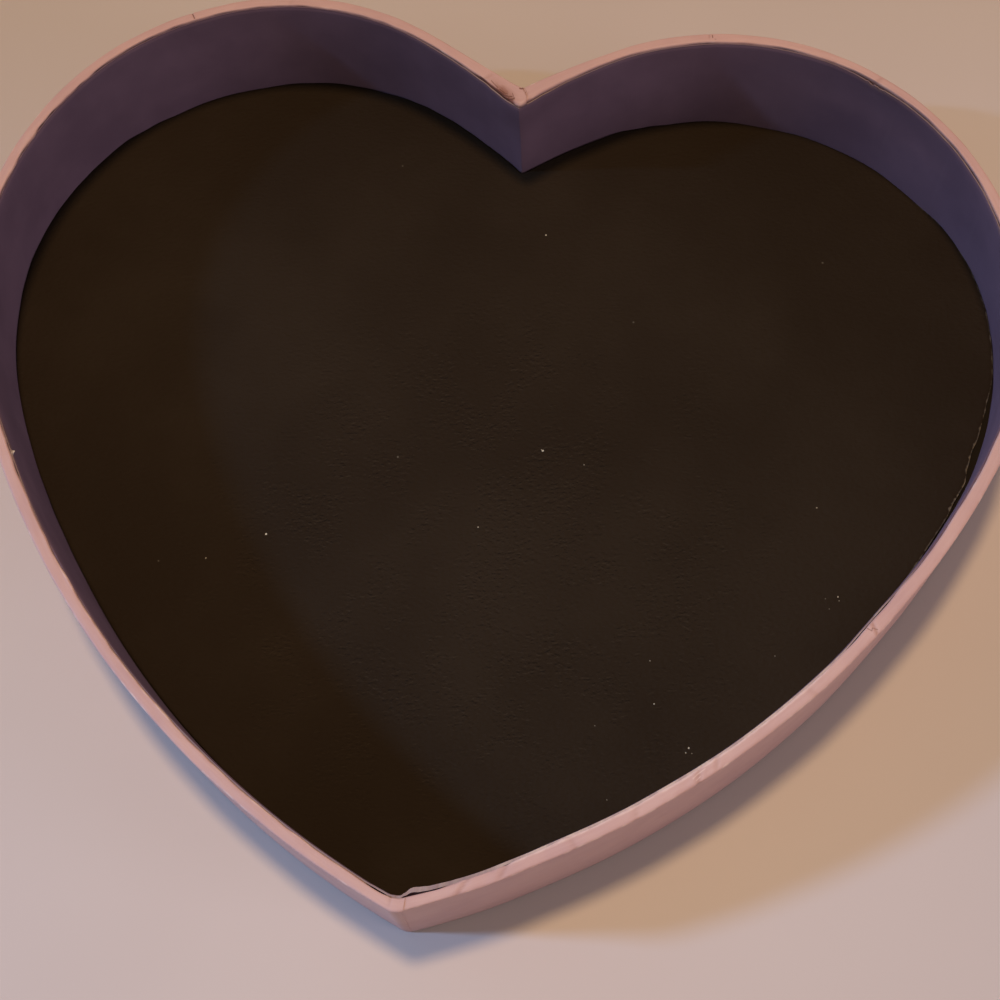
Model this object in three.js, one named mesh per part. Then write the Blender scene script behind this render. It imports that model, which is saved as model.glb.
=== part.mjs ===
// Heart-shaped tray: a rigid board tray covered in paper, with a card liner round the inside of its
// wall and a dark faced panel on its floor.
// Millimetres, +Z up. +Y runs towards the cleft between the lobes and -Y towards the pointed tip.
// The origin is in the middle of the tray's box, on the surface that it stands on.
import * as THREE from 'three';
import { mergeVertices } from 'three/addons/utils/BufferGeometryUtils.js';

// Heart outline, right half: four arcs, each running on from the last, from the cleft to the tip
const cleftHeading = 34.4; // degrees from +X, the way in which the outline leaves the cleft
const cleftRadius = 218;
const cleftSweep = 6.4; // degrees
const lobeRadius = 57.5;
const lobeSweep = 58; // degrees
const shoulderRadius = 66.5;
const shoulderSweep = 82; // degrees
const flankRadius = 185; // runs on until it meets the middle line at the tip

// Heights and lengths
const trayHeight = 30.5;
const turnIn = 14; // how far the covering paper runs down inside the wall
const turnUnder = 11; // how far the covering paper runs in under the base
const coverInset = 1.6; // edge of the base paper, in from the tray's outer face
const linerDrop = 1.2; // the liner's cut edge lies this far below the rim
const stayReach = 14; // how far a corner stay runs along the wall on each side

// Thicknesses of the board, card and paper
const boardThickness = 2;
const wrapThickness = 0.25;
const baseCoverThickness = 0.2;
const stayThickness = 0.15;
const linerThickness = 0.4;
const floorBoardThickness = 1.2;
const floorFacingThickness = 0.25;

// Clearances
const glueLine = 0.05; // between two glued layers
const seamGap = 0.1; // between the left and the right piece of one layer
const baseFit = 0.1; // between the base board's edge and the wall boards
const stepFit = 0.3; // between two edges that meet in one layer
const linerStandOff = 0.15; // between the turned-in paper and the liner
const floorGap = 0.4; // between the liner and the floor panel's edge

// Rounding
const boardRound = 0.6; // pressed top corners of the wall boards
const roundSteps = 3; // flats in each rounded corner
const chordError = 0.08; // how far a flat may cut inside its arc

// Section of the wall, as insets from the outer face and heights from the table
const boardOuter = wrapThickness + glueLine;
const boardInner = boardOuter + boardThickness;
const turnInOuter = boardInner + glueLine;
const rimWidth = turnInOuter + wrapThickness;
const linerOuter = rimWidth + linerStandOff;
const linerInner = linerOuter + linerThickness;
const floorInset = linerInner + floorGap;
const wrapBottom = baseCoverThickness + glueLine;
const boardBottom = wrapBottom + wrapThickness + glueLine;
const boardTop = trayHeight - wrapThickness - glueLine;
const baseTop = boardBottom + boardThickness;
const floorBottom = baseTop + glueLine;
const facingBottom = floorBottom + floorBoardThickness + glueLine;
const foldInside = boardRound + glueLine; // radius inside the paper's folds over the rim
const foldOutside = foldInside + wrapThickness;

// The right half's arcs. A heading turns to the right all the way, so every centre lies inside the
// heart, and an inset outline has the same centres with smaller radii.
function heartArcs() {
  const runs = [
    [cleftRadius, cleftSweep],
    [lobeRadius, lobeSweep],
    [shoulderRadius, shoulderSweep],
    [flankRadius, null],
  ];
  const at = new THREE.Vector2(0, 0);
  let heading = THREE.MathUtils.degToRad(cleftHeading);
  return runs.map(([radius, sweep]) => {
    const start = heading;
    const centre = new THREE.Vector2(at.x + radius * Math.sin(start), at.y - radius * Math.cos(start));
    const end = sweep === null ? meetMiddle(centre, radius, 0) : start - THREE.MathUtils.degToRad(sweep);
    at.copy(arcPoint(centre, radius, end));
    heading = end;
    return { centre, radius, start, end };
  });
}

// Point of an arc where the outline has a given heading
function arcPoint(centre, radius, heading) {
  return new THREE.Vector2(centre.x - radius * Math.sin(heading), centre.y + radius * Math.cos(heading));
}

// Heading at which the last arc comes back to the distance offMiddle from the middle line
function meetMiddle(centre, radius, offMiddle) {
  return -Math.PI - Math.asin((centre.x - offMiddle) / radius);
}

const arcs = heartArcs();

// Points of the right half's outline at an inset, from the cleft to the tip, both ends at offMiddle
function halfOutline(inset, offMiddle = 0) {
  const points = [];
  arcs.forEach((arc, index) => {
    const radius = arc.radius - inset;
    const first = index === 0;
    const last = index === arcs.length - 1;
    const start = first ? Math.asin((arc.centre.x - offMiddle) / radius) : arc.start;
    const end = last ? meetMiddle(arc.centre, radius, offMiddle) : arc.end;
    const flatAngle = 2 * Math.acos(1 - chordError / arc.radius);
    const flats = Math.ceil((arc.start - arc.end) / flatAngle);
    for (let flat = first ? 0 : 1; flat <= flats; flat += 1) {
      points.push(arcPoint(arc.centre, radius, THREE.MathUtils.lerp(start, end, flat / flats)));
    }
  });
  return points;
}

// Points round one corner of the heart, as far as stayReach along the wall on each side; the reach is
// measured at the turned-in paper, so that every inset ends level with it
function cornerOutline(inset, atTip) {
  const fromCorner = (at) => (atTip ? halfOutline(at).reverse() : halfOutline(at));
  const guide = fromCorner(turnInOuter);
  const points = fromCorner(inset);
  const right = [points[0]];
  let run = 0;
  for (let i = 1; run < stayReach && i < guide.length; i += 1) {
    const step = guide[i].distanceTo(guide[i - 1]);
    const share = Math.min(1, (stayReach - run) / step);
    right.push(points[i - 1].clone().lerp(points[i], share));
    run += step;
  }
  const left = right.slice(1).reverse().map((p) => new THREE.Vector2(-p.x, p.y));
  const whole = [...left, ...right];
  return atTip ? whole.reverse() : whole;
}

// Whole closed outline at an inset, clockwise seen from above, with the middle points once
function wholeOutline(inset) {
  const right = halfOutline(inset);
  const left = right.slice(1, -1).reverse().map((p) => new THREE.Vector2(-p.x, p.y));
  return [...right, ...left];
}

// A rounded corner of a section: points on a circle from one angle to another, in degrees
function corner(inset, height, radius, from, to) {
  return Array.from({ length: roundSteps + 1 }, (_, i) => {
    const angle = THREE.MathUtils.degToRad(THREE.MathUtils.lerp(from, to, i / roundSteps));
    return [inset + radius * Math.cos(angle), height + radius * Math.sin(angle)];
  });
}

// A plain rectangular section, from its foot on the outer side
function rectangle(inset0, inset1, height0, height1) {
  return [[inset0, height0], [inset0, height1], [inset1, height1], [inset1, height0]];
}

// Joins positions and triangles into a geometry, each triangle in its given order
function solid(positions, triangles) {
  const geometry = new THREE.BufferGeometry();
  geometry.setAttribute('position', new THREE.Float32BufferAttribute(positions, 3));
  geometry.setIndex(triangles);
  return mergeVertices(geometry);
}

// Triangles that fill a closed contour, wound the same way as the contour
function fill(contour) {
  const triangles = THREE.ShapeUtils.triangulateShape(contour, []);
  const areas = triangles.map((triangle) => THREE.ShapeUtils.area(triangle.map((i) => contour[i])));
  const turned = areas.reduce((sum, area) => sum + area, 0) * THREE.ShapeUtils.area(contour) < 0;
  return triangles.map(([a, b, c]) => (turned ? [a, c, b] : [a, b, c]));
}

// Carries a closed section along an outline: section points are insets and heights, going up the
// outer side first, and outlineAt(inset) gives the plan points at an inset, from end to end
function sweptBand(section, outlineAt) {
  const rails = section.map(([inset]) => outlineAt(inset));
  const stations = rails[0].length;
  const size = section.length;
  const positions = [];
  for (let station = 0; station < stations; station += 1) {
    section.forEach(([, height], i) => positions.push(rails[i][station].x, rails[i][station].y, height));
  }
  const triangles = [];
  for (let station = 0; station + 1 < stations; station += 1) {
    const here = station * size;
    const next = here + size;
    for (let i = 0; i < size; i += 1) {
      const j = (i + 1) % size;
      triangles.push(here + i, next + j, next + i, here + i, here + j, next + j);
    }
  }
  const flat = section.map(([inset, height]) => new THREE.Vector2(inset, height));
  const lastStation = (stations - 1) * size;
  fill(flat).forEach(([a, b, c]) => {
    triangles.push(a, c, b, lastStation + a, lastStation + b, lastStation + c);
  });
  return solid(positions, triangles);
}

// A plate with a flat underside and a flat top; rings are [inset, height] from the underside's edge
// round to the top's edge
function plate(rings) {
  const outlines = rings.map(([inset]) => wholeOutline(inset));
  const count = outlines[0].length;
  const positions = [];
  rings.forEach(([, height], r) => outlines[r].forEach((p) => positions.push(p.x, p.y, height)));
  const triangles = [];
  for (let r = 0; r + 1 < rings.length; r += 1) {
    for (let i = 0; i < count; i += 1) {
      const a = r * count + i;
      const b = r * count + ((i + 1) % count);
      triangles.push(a, a + count, b, b, a + count, b + count);
    }
  }
  const top = (rings.length - 1) * count;
  fill(outlines[0]).forEach(([a, b, c]) => triangles.push(a, b, c));
  fill(outlines[rings.length - 1]).forEach(([a, b, c]) => triangles.push(top + a, top + c, top + b));
  return solid(positions, triangles);
}

// Turns a right-hand piece into its left-hand twin
function mirrored(geometry) {
  const twin = geometry.clone();
  const place = twin.getAttribute('position');
  for (let i = 0; i < place.count; i += 1) {
    place.setX(i, -place.getX(i));
  }
  const index = twin.getIndex();
  for (let i = 0; i < index.count; i += 3) {
    const second = index.getX(i + 1);
    index.setX(i + 1, index.getX(i + 2));
    index.setX(i + 2, second);
  }
  return twin;
}

// The right half's outline, ending just short of the middle line
const rightSide = (inset) => halfOutline(inset, seamGap / 2);

// Covering paper: in under the base, up the outside, over the rim and down inside the wall
function wrapSection() {
  const overRim = (radius) => [
    ...corner(foldOutside, trayHeight - foldOutside, radius, 180, 90),
    ...corner(rimWidth - foldOutside, trayHeight - foldOutside, radius, 90, 0),
  ];
  return [
    [turnUnder, wrapBottom],
    ...corner(wrapThickness, wrapBottom + wrapThickness, wrapThickness, 270, 180),
    ...overRim(foldOutside),
    [rimWidth, trayHeight - turnIn],
    [turnInOuter, trayHeight - turnIn],
    ...overRim(foldInside).reverse(),
    [wrapThickness, wrapBottom + wrapThickness],
    [turnUnder, wrapBottom + wrapThickness],
  ];
}

// Wall board: square at its foot, pressed round at its top corners
function wallSection() {
  return [
    [boardOuter, boardBottom],
    ...corner(boardOuter + boardRound, boardTop - boardRound, boardRound, 180, 90),
    ...corner(boardInner - boardRound, boardTop - boardRound, boardRound, 90, 0),
    [boardInner, boardBottom],
  ];
}

// Paper stay glued into a corner, below the turned-in paper
function stay(atTip) {
  const top = trayHeight - turnIn - stepFit;
  const section = rectangle(turnInOuter, turnInOuter + stayThickness, baseTop + glueLine, top);
  return sweptBand(section, (inset) => cornerOutline(inset, atTip));
}

// Liner: a strip of card standing on the base board, its cut edge just below the rim
function linerSection() {
  return rectangle(linerOuter, linerInner, baseTop + glueLine, trayHeight - linerDrop);
}

// Base paper: flat below, thinner where the covering paper is turned under
function baseCover() {
  const sunk = turnUnder + stepFit;
  return plate([
    [coverInset, 0],
    [coverInset, baseCoverThickness],
    [sunk, baseCoverThickness],
    [sunk, boardBottom - glueLine],
  ]);
}

// A plate of one thickness with a square edge
function evenPlate(inset, bottom, thickness) {
  return plate([[inset, bottom], [inset, bottom + thickness]]);
}

const pinkPaper = { color: 0xbe9892, roughness: 0.62, metalness: 0 };
const greyBoard = { color: 0x9a8b78, roughness: 0.92, metalness: 0 };
const stayPaper = { color: 0xb59c74, roughness: 0.85, metalness: 0 };
const mauveCard = { color: 0x786276, roughness: 0.7, metalness: 0 };
const brownBoard = { color: 0x8a6a4c, roughness: 0.9, metalness: 0 };
const darkFacing = { color: 0x241e1a, roughness: 0.55, metalness: 0 };

function piece(name, geometry, finish) {
  const mesh = new THREE.Mesh(geometry, new THREE.MeshStandardMaterial(finish));
  mesh.name = name;
  return mesh;
}

// A layer made of two strips, one for each side of the heart
function pair(name, section, finish) {
  const right = sweptBand(section, rightSide);
  return [piece(`${name}_left`, mirrored(right), finish), piece(`${name}_right`, right, finish)];
}

const tray = new THREE.Group();
tray.add(
  ...pair('outer_wrap', wrapSection(), pinkPaper),
  ...pair('wall_board', wallSection(), greyBoard),
  piece('cleft_stay', stay(false), stayPaper),
  piece('tip_stay', stay(true), stayPaper),
  piece('base_board', evenPlate(boardInner + baseFit, boardBottom, boardThickness), greyBoard),
  piece('base_cover', baseCover(), pinkPaper),
  ...pair('liner', linerSection(), mauveCard),
  piece('floor_board', evenPlate(floorInset, floorBottom, floorBoardThickness), brownBoard),
  piece('floor_facing', evenPlate(floorInset, facingBottom, floorFacingThickness), darkFacing),
);

// The arcs start at the cleft, so the tray is moved back until its box is centred on the origin
const reach = new THREE.Box2().setFromPoints(wholeOutline(0));
tray.position.y = -reach.getCenter(new THREE.Vector2()).y;

export default tray;
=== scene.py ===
# Heart-shaped tray of paper-covered board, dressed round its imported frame.
# Plan sizes here are millimetres, and a mesh is turned into metres when it is made.
import math
import bpy
import numpy as np
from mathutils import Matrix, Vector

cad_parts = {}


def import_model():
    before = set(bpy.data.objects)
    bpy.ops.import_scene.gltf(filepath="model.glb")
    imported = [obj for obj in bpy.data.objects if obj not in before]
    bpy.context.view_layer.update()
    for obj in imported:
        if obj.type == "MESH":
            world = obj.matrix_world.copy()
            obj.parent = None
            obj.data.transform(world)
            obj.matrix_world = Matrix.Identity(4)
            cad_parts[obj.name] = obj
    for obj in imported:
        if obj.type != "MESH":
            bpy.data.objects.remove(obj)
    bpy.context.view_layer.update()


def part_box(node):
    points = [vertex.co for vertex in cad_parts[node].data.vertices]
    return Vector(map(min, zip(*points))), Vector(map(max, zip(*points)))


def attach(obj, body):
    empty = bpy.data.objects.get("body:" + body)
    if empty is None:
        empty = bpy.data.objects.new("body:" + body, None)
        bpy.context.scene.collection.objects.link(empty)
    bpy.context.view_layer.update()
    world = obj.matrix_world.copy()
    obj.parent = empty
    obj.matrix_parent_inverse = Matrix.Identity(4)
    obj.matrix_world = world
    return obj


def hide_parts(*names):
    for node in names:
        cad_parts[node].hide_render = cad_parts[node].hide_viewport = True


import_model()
mm = 0.001


def boxOf(node):
    low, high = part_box(node)
    return np.array(low) / mm, np.array(high) / mm


wrapLow, wrapHigh = boxOf("outer_wrap_right")
linerLow, linerHigh = boxOf("liner_right")
boardLow, boardHigh = boxOf("wall_board_right")
floorLow, floorHigh = boxOf("floor_board")
facingLow, facingHigh = boxOf("floor_facing")
coverHigh = boxOf("base_cover")[1]
baseLow, baseHigh = boxOf("base_board")

rimHeight = wrapHigh[2]
wrapFoot = wrapLow[2]
coverInset = wrapHigh[0] - coverHigh[0]
boardInset = wrapHigh[0] - boardHigh[0]
linerInset = wrapHigh[0] - linerHigh[0]
panelInset = wrapHigh[0] - floorHigh[0]

# The heart's outline: four arcs, each running on from the last, from the cleft round the right lobe
# to the tip. Headings are degrees from +X and turn to the right all the way.
heart = {
    "cleftHeading": 34.4,
    "cleftRadius": 218.0,
    "cleftSweep": 6.4,
    "lobeRadius": 57.5,
    "lobeSweep": 58.0,
    "shoulderRadius": 66.5,
    "shoulderSweep": 82.0,
    "flankRadius": 185.0,
}


def heartArcs():
    # each centre lies one radius to the right of the heading; the last arc ends on the middle line
    at = np.zeros(2)
    heading = math.radians(heart["cleftHeading"])
    arcs = []
    for run in ("cleft", "lobe", "shoulder", "flank"):
        radius = heart[run + "Radius"]
        centre = at + radius * np.array([math.sin(heading), -math.cos(heading)])
        if run == "flank":
            end = -math.pi - math.asin(centre[0] / radius)
        else:
            end = heading - math.radians(heart[run + "Sweep"])
        arcs.append((centre[0], centre[1], radius, heading, end))
        at = centre + radius * np.array([-math.sin(end), math.cos(end)])
        heading = end
    return np.array(arcs).T


arcX, arcY, arcRadius, arcStart, arcEnd = heartArcs()
arcLength = arcRadius * (arcStart - arcEnd)
arcReach = np.concatenate([[0.0], np.cumsum(arcLength)])
half = arcReach[-1]  # from the cleft to the tip, along the outer face
whole = 2 * half
corners = [0.0, half, whole]
arcY = arcY - (arcY[1] + arcRadius[1] + arcY[3] + arcRadius[3] * math.cos(arcEnd[3])) / 2


def outlinePoint(along, inset):
    # A point at a distance along the outer face, clockwise from the cleft, moved in by the inset:
    # the same centre and heading with a smaller radius. The ends of the first and last arcs are
    # turned until the point meets the middle line, and the left side mirrors the right.
    along = np.mod(along, whole)
    side = np.where(along <= half, 1.0, -1.0)
    run = np.where(along <= half, along, whole - along)
    k = np.clip(np.searchsorted(arcReach, run, side="right") - 1, 0, 3)
    share = (run - arcReach[k]) / arcLength[k]
    radius = arcRadius[k] - inset
    start = np.where(k == 0, np.arcsin(arcX[0] / radius), arcStart[k])
    end = np.where(k == 3, -np.pi - np.arcsin(arcX[3] / radius), arcEnd[k])
    heading = start + share * (end - start)
    return (arcX[k] - radius * np.sin(heading)) * side, arcY[k] + radius * np.cos(heading)


def near(values, centre, width):
    return np.exp(-(((values - centre) / width) ** 2))


def rise(values, low, high):
    # smooth step from 0 at low to 1 at high
    t = np.clip((values - low) / (high - low), 0.0, 1.0)
    return t * t * (3 - 2 * t)


def between(values, first, second, third, fourth):
    # smooth rise from the first to the second, and fall from the third to the fourth
    return rise(values, first, second) * (1 - rise(values, third, fourth))


def ripples(x, y, seed, shortest, longest, count=14):
    # sum of sine waves in seeded directions, lengths spread evenly by ratio, brought to about -1..1
    draw = np.random.default_rng(seed)
    lengths = shortest * (longest / shortest) ** np.linspace(0, 1, count)
    total = np.zeros(np.broadcast(x, y).shape)
    for length in lengths:
        turn, phase = draw.uniform(0, 2 * np.pi, 2)
        total = total + np.sin(2 * np.pi * (x * np.cos(turn) + y * np.sin(turn)) / length + phase)
    return total / math.sqrt(count * 1.2)


def seatAt(along, table):
    # values between the listed places, eased from each to the next
    rows = np.array(table, float)
    places = rows[:, 0]
    k = np.clip(np.searchsorted(places, along, side="right") - 1, 0, len(places) - 2)
    ease = rise((along - places[k]) / (places[k + 1] - places[k]), 0.0, 1.0)
    return [value[k] + ease * (value[k + 1] - value[k]) for value in rows.T[1:]]


# How this tray came out by hand: place along the outline, how far the wall stands out at its foot and
# at its rim, and how much the rim is pressed narrower
wallSeat = [
    (0, 0, 0, -0.52), (2.6, 0.02, 0.02, -0.42), (6, 0.04, 0.04, -0.16), (12, 0.06, 0.06, 0.1),
    (24, 0.08, 0.08, 0.4), (40, -0.1, -0.1, 0.22), (60, -0.2, -0.2, 0.49), (78, -0.1, -0.1, 0.66),
    (92, 0.62, 0.04, 0.66), (104, 1.33, -0.03, 0.55), (116, 1.92, -0.14, 0.32), (124, 2.2, -0.32, 0.2),
    (132, 2.14, -0.4, 0.15), (140, 1.8, -0.45, 0.1), (150, 1.43, -0.38, 0.08), (160, 1.12, -0.13, 0.05),
    (168, 0.93, -0.03, 0.04), (176, 0.87, 0.34, 0.02), (184, 0.72, 0.65, 0), (194, 0.32, 0.76, 0),
    (202, 0.14, 0.82, 0), (220, -0.05, 0.65, 0), (236, 0.2, 0.76, 0.21), (258, 0.3, 0.6, 0.35),
    (280, 0.2, 0.34, 0.22), (300, 0, 0.1, 0.1), (315, 0.15, 0.25, 0.45), (329.2, 0.1, 0.18, 0.41),
    (345, 0.05, 0.1, 0.3), (378, 0.05, 0.05, 0.2), (400, 0.05, 0.05, 0.28), (430, -0.05, -0.05, 0.12),
    (440, 0.1, -0.08, 0.14), (450, 0.38, -0.1, 0.17), (462, 0.69, -0.16, 0.2), (474, 0.86, -0.29, 0.2),
    (490, 0.67, -0.4, 0.2), (500, 0.61, -0.48, 0.2), (508, 0.93, -0.6, 0.21), (514, 1.14, -0.68, 0.23),
    (520, 1.04, -0.7, 0.24), (527, 1, -0.54, 0.24), (534, 0.8, -0.4, 0.23), (540, 0.59, -0.25, 0.21),
    (546, 0.45, -0.1, 0.23), (552, 0.49, 0.02, 0.3), (558, 0.27, 0.15, 0.38), (570, 0.05, 0.05, 0.45),
    (582, -0.15, -0.15, 0.45), (600, 0, 0, 0.29), (612, 0.01, -0.03, 0.27), (620, 0.24, -0.05, 0.29),
    (628, 0.77, -0.04, 0.3), (634, 1.22, -0.02, 0.3), (640, 1.5, -0.01, 0.3), (645, 1.32, 0, 0.18),
    (649.5, 0.95, 0, -0.1), (652, 0.73, 0, -0.45), (655, 0.42, 0, -0.75), (658.42, 0, 0, -0.52),
]
# how far the cleft's corner is pulled to the right and back, and how far along the wall that reaches
cleftPull = {"side": 0.88, "back": 0.5, "reach": 9.0}
# the rim is pressed narrower from this far below its top, and fully so from the second
narrowed = {"from": 14.0, "full": 2.0}
cornerReach = 5.0


def wallAt(along):
    return seatAt(np.mod(along, whole), wallSeat)


def wallPoint(along, inset):
    # the outline moved out as the wall's foot is, with its cleft corner pulled to the right and back
    x, y = outlinePoint(along, inset - wallAt(along)[0])
    fromCleft = np.minimum(np.mod(along, whole), whole - np.mod(along, whole))
    pull = near(fromCleft, 0.0, cleftPull["reach"])
    return x + cleftPull["side"] * pull, y + cleftPull["back"] * pull * np.clip(1 - inset / linerInset, 0, 1)


def softOutline(along, inset, soft):
    # the mean of seven points a little before and after, which rounds the two corners and nothing else
    return np.mean([wallPoint(along + step * soft, inset) for step in np.linspace(-1.0, 1.0, 7)], axis=0)


def leanOut(along, height):
    # the wall's lean, none at the foot and the whole difference between foot and rim at the rim
    foot, rim = wallAt(along)[:2]
    return (rim - foot) * np.clip(height / rimHeight, 0, 1)


def narrowing(along, height):
    # how much the rim's inner side is pressed towards its outer side, fading out down the wall
    return wallAt(along)[2] * rise(height, rimHeight - narrowed["from"], rimHeight - narrowed["full"])


def cornerSoft(along, atCleft, atTip, elsewhere=0.3):
    # how far to average: wider near the two corners
    fromTip = np.abs(np.mod(along, whole) - half)
    atEnds = (atTip - elsewhere) * near(fromTip, 0.0, cornerReach)
    return elsewhere + atEnds + (atCleft - elsewhere) * near(fromTip, half, cornerReach)


def stations(start, end, step, closeStep, places, reach):
    # places along the outline, a step apart, closing up to closeStep round the named places
    fine = np.linspace(start, end, int((end - start) / 0.05) + 1)
    density = np.full(fine.shape, 1.0 / step)
    for place in places:
        density = np.maximum(density, near(fine, place, reach) / closeStep)
    grown = np.concatenate([[0.0], np.cumsum((density[1:] + density[:-1]) / 2 * np.diff(fine))])
    count = int(math.ceil(grown[-1])) + 1
    return np.interp(np.linspace(0, grown[-1], count), grown, fine)


def gridOf(base, columns):
    # the stations down the rows, the same in each column
    return base[:, None] + np.zeros(columns)[None]


def sheetFace(s, inset, soft, height):
    x, y = softOutline(s, inset, soft)
    return np.dstack([x, y, height + 0 * s])


def plateEdge(s, inset, atCleft, atTip):
    return softOutline(s, inset, cornerSoft(s, atCleft, atTip)).T


def makeMesh(name, points, faces, attributes, sharpAngle=40.0):
    # points in millimetres; the faces are turned round if the closed volume comes out negative
    p = points.reshape(-1, 3)
    a, b, c, d = (p[faces[:, i]] for i in range(4))
    volume = np.einsum("ij,ij->i", a, np.cross(b, c)).sum() + np.einsum("ij,ij->i", a, np.cross(c, d)).sum()
    if volume < 0:
        faces = faces[:, ::-1]
    # a triangle is given as four corners with two the same, which are moved to the end and taken once
    faces = np.where((faces[:, 0] == faces[:, 1])[:, None], faces[:, [1, 2, 3, 3]], faces)
    doubled = faces[:, 2] == faces[:, 3]
    sizes = np.where(doubled, 3, 4)
    kept = np.ones(faces.shape, bool)
    kept[doubled, 3] = False
    mesh = bpy.data.meshes.new(name)
    mesh.vertices.add(len(p))
    mesh.vertices.foreach_set("co", (p * mm).astype(np.float32).ravel())
    mesh.loops.add(int(sizes.sum()))
    mesh.loops.foreach_set("vertex_index", faces[kept].astype(np.int32))
    mesh.polygons.add(len(faces))
    mesh.polygons.foreach_set("loop_start", np.concatenate([[0], np.cumsum(sizes)[:-1]]).astype(np.int32))
    mesh.update(calc_edges=True)
    mesh.polygons.foreach_set("use_smooth", np.ones(len(faces), bool))
    for key, values in attributes.items():
        values = np.asarray(values, np.float32)
        if values.size == 3 * len(p):
            mesh.attributes.new(key, "FLOAT_VECTOR", "POINT").data.foreach_set("vector", values.ravel() * mm)
        else:
            mesh.attributes.new(key, "FLOAT", "POINT").data.foreach_set("value", values.ravel())
    mesh.validate()
    mesh.set_sharp_from_angle(angle=math.radians(sharpAngle))
    piece = bpy.data.objects.new(name, mesh)
    bpy.context.scene.collection.objects.link(piece)
    print("made", name, len(p), "points", len(faces), "faces")
    return piece


def bandFaces(index):
    # quads between each row of points and the next, closed round from the last column to the first
    following = np.roll(index, -1, axis=1)
    return np.stack([index[:-1], index[1:], following[1:], following[:-1]], axis=-1).reshape(-1, 4)


def ribbon(name, outer, inner, attributes):
    # A strip of sheet: one grid for its outer face and one for its inner face, both stations by
    # path points. Quads join them round both edges and over both ends.
    rows, columns = outer.shape[:2]
    loop = np.concatenate([outer, inner[:, ::-1]], axis=1)
    index = np.arange(rows * 2 * columns).reshape(rows, 2 * columns)
    left = index[:, : columns]
    right = index[:, : columns - 1 : -1]
    ends = []
    for row, order in ((0, (0, 1, 2, 3)), (rows - 1, (3, 2, 1, 0))):
        cap = np.stack([left[row, :-1], left[row, 1:], right[row, 1:], right[row, :-1]], axis=-1)
        ends.append(cap[:, order])
    faces = np.concatenate([bandFaces(index), *ends])
    joined = {key: np.concatenate([face, back[:, ::-1]], axis=1) for key, (face, back) in attributes.items()}
    return makeMesh(name, loop, faces, joined)


plateCentre = np.array([0.0, 6.0])


def plate(name, edge, shares, top, low, attributes):
    # A heart-shaped plate: each point is the centre plus a share of the way to the edge. The grid runs
    # from the pole on top, out to the edge, down it and back in to the pole below.
    count = edge.shape[0]
    upper = plateCentre + (edge[None] - plateCentre) * shares[:, None, None]
    plan = np.concatenate([upper, upper[::-1]])
    height = np.concatenate([top(upper, shares[:, None]), low(upper[::-1], shares[::-1, None])])
    poles = [[*plateCentre, side(np.array([[plateCentre]]), np.zeros((1, 1)))[0, 0]] for side in (top, low)]
    points = np.concatenate([np.dstack([plan, height]).reshape(-1, 3), poles])
    index = np.arange(2 * len(shares) * count).reshape(2 * len(shares), count)
    following = np.roll(index, -1, axis=1)
    topPole, lowPole = np.full(count, len(points) - 2), np.full(count, len(points) - 1)
    first = np.stack([topPole, index[0], following[0], following[0]], axis=-1)
    last = np.stack([lowPole, following[-1], index[-1], index[-1]], axis=-1)
    bothWays = np.concatenate([shares, shares[::-1]])[:, None]
    values = {key: np.concatenate([make(plan, bothWays).ravel(), [0, 0]]) for key, make in attributes.items()}
    return makeMesh(name, points, np.concatenate([bandFaces(index), first, last]), values)


# Nodes and materials


def colour(red, green, blue):
    # sRGB 0 to 255, turned into the linear values that a shader takes
    linear = [(c / 255 / 12.92) if c <= 10 else ((c / 255 + 0.055) / 1.055) ** 2.4 for c in (red, green, blue)]
    return (*linear, 1.0)


def feed(tree, value, socket):
    # a plain value is set on the socket, and another node's output is linked to it
    if isinstance(value, (int, float, tuple)):
        socket.default_value = value
    else:
        tree.links.new(value, socket)


def newNode(tree, kind, inputs, **settings):
    node = tree.nodes.new("ShaderNode" + kind)
    for key, value in settings.items():
        setattr(node, key, value)
    for key, value in inputs.items():
        feed(tree, value, node.inputs[key])
    return node


def newGroup(name, inputs):
    # an input is a vector where no number is given for it
    tree = bpy.data.node_groups.new(name, "ShaderNodeTree")
    for label, value in inputs.items():
        kind = "NodeSocketVector" if value is None else "NodeSocketFloat"
        socket = tree.interface.new_socket(name=label, in_out="INPUT", socket_type=kind)
        if value is not None:
            socket.default_value = value
    return tree, tree.nodes.new("NodeGroupInput").outputs


def finishGroup(tree, results):
    # every result is a number
    for label in results:
        tree.interface.new_socket(name=label, in_out="OUTPUT", socket_type="NodeSocketFloat")
    target = tree.nodes.new("NodeGroupOutput")
    for label, value in results.items():
        tree.links.new(value, target.inputs[label])
    return tree


def useGroup(tree, group, **values):
    # the group's outputs; its inputs are given by name, with each underscore read as a space
    inputs = {label.replace("_", " "): value for label, value in values.items()}
    return newNode(tree, "Group", inputs, node_tree=group).outputs


def mathNode(tree, operation, *values, clamp=False):
    return newNode(tree, "Math", dict(enumerate(values)), operation=operation, use_clamp=clamp).outputs[0]


def times(tree, first, second):
    return mathNode(tree, "MULTIPLY", first, second)


def vectorNode(tree, operation, first, second):
    inputs = {0: first, ("Scale" if operation == "SCALE" else 1): second}
    result = "Value" if operation in ("DOT_PRODUCT", "DISTANCE") else "Vector"
    return newNode(tree, "VectorMath", inputs, operation=operation).outputs[result]


def mixColour(tree, factor, first, second):
    # the colour sockets of a mix node come after its number and vector sockets
    return newNode(tree, "Mix", {0: factor, 6: first, 7: second}, data_type="RGBA").outputs[2]


def noiseNode(tree, vector, scale, detail=4.0, roughness=0.55):
    inputs = {"Vector": vector, "Scale": scale, "Detail": detail, "Roughness": roughness}
    return newNode(tree, "TexNoise", inputs).outputs["Fac"]


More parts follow.
